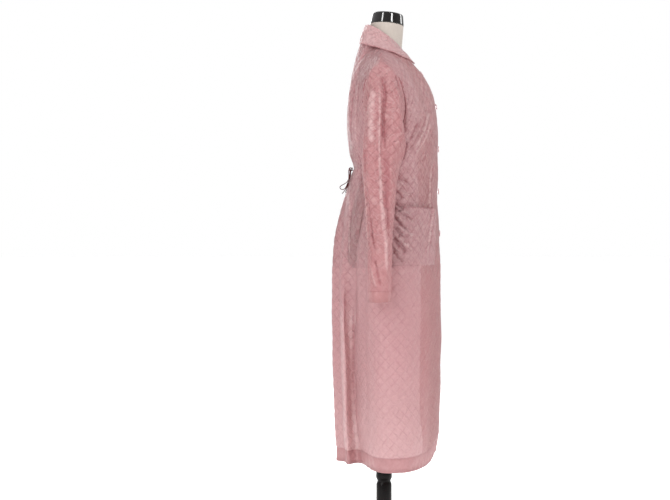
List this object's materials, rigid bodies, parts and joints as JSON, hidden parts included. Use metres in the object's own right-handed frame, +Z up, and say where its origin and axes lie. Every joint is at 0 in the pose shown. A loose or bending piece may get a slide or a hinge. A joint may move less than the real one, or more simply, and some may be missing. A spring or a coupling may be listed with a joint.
{
  "type": "quilted coat on a dress form",
  "caption": "Long, light, diamond-quilted coat with a small collar, buttoned front, patch pockets and tied back waist, on a limbless dress form with a turned pole and round base.",
  "frame": {"origin": "on the floor, in the middle of the underside of the stand's base, on the pole's axis", "axes": "+Z up along the pole; the coat's front faces -Y; the wearer's right side is at -X, so the collar's right leaf, the right sleeve and the right pocket are there"},
  "size_m": [0.617, 0.3247, 1.5125],
  "materials": {
    "quilted_cloth": "thin pink satin-weave cloth, quilted in diamonds, soft sheen",
    "plain_cloth": "the same pink cloth, doubled and plain, soft sheen",
    "tie_cloth": "narrow tube of the same cloth, darker where it folds on itself",
    "button_plastic": "polished pale pink plastic",
    "form_jersey": "matt beige jersey, stretched smooth",
    "black_gloss": "black lacquer, high gloss",
    "black_wood": "turned wood, stained black, satin varnish"
  },
  "bodies": {
    "root": {"front_right": "quilted_cloth", "front_left": "quilted_cloth", "back": "quilted_cloth", "sleeve_right": "quilted_cloth", "sleeve_left": "quilted_cloth", "pocket_right": "quilted_cloth", "pocket_left": "quilted_cloth", "facing_right": "plain_cloth", "facing_left": "plain_cloth", "hem_right": "plain_cloth", "hem_left": "plain_cloth", "hem_back": "plain_cloth", "cuff_right": "plain_cloth", "cuff_left": "plain_cloth", "collar": "plain_cloth", "tie_right": "tie_cloth", "tie_left": "tie_cloth", "tie_knot": "tie_cloth", "button_1": "button_plastic", "button_2": "button_plastic", "button_3": "button_plastic", "button_4": "button_plastic", "button_5": "button_plastic", "form_torso": "form_jersey", "form_neck_cap": "black_gloss", "form_pole": "black_wood", "form_base": "black_wood"}
  },
  "joints": []
}
